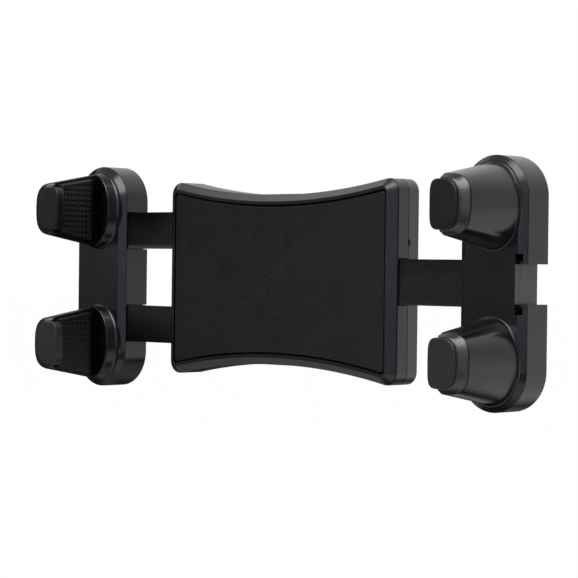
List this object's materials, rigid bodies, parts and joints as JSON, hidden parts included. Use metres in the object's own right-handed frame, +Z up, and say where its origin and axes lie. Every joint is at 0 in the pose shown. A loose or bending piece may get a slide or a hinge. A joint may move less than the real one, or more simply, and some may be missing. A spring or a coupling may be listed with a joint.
{
  "type": "tablet holder",
  "caption": "Spring-loaded holder with a padded body and two sliding brackets whose rubber-lined posts grip the edges of a tablet.",
  "frame": {"origin": "centre of the four-hole mounting pattern on the flat back face", "axes": "+X along the slides towards the bracket with the single rail, +Y out of the back face, -Y is the side the tablet lies on, +Z up"},
  "size_m": [0.2205, 0.0396, 0.0852],
  "materials": {
    "shell": "satin moulded",
    "pad": "fine grained",
    "rubber": "matte knurled",
    "steel": "satin",
    "brass": "satin"
  },
  "bodies": {
    "body": {"front_housing": "shell", "front_pad": "pad", "rear_housing": "shell", "housing_screws": "steel", "mount_inserts": "brass", "spring_anchor_pins": "steel", "left_upper_spring": "steel", "left_lower_spring": "steel", "right_spring": "steel"},
    "left_slide": {"left_arm": "shell", "left_arm_pins": "steel", "left_bracket": "shell", "left_bracket_screws": "steel", "left_upper_grip": "rubber", "left_lower_grip": "rubber"},
    "right_slide": {"right_arm": "shell", "right_arm_pin": "steel", "right_bracket": "shell", "right_bracket_screws": "steel", "right_upper_grip": "rubber", "right_lower_grip": "rubber"}
  },
  "joints": [
    {"name": "left_pull", "type": "slide", "parent": "body", "child": "left_slide", "axis": [-1, 0, 0], "range_m": [0, 0.042], "stiffness_N_per_m": 120, "springref_m": -0.04, "deforming": ["left_upper_spring", "left_lower_spring"]},
    {"name": "right_pull", "type": "slide", "parent": "body", "child": "right_slide", "axis": [1, 0, 0], "range_m": [0, 0.042], "stiffness_N_per_m": 120, "springref_m": -0.04, "deforming": ["right_spring"]}
  ]
}
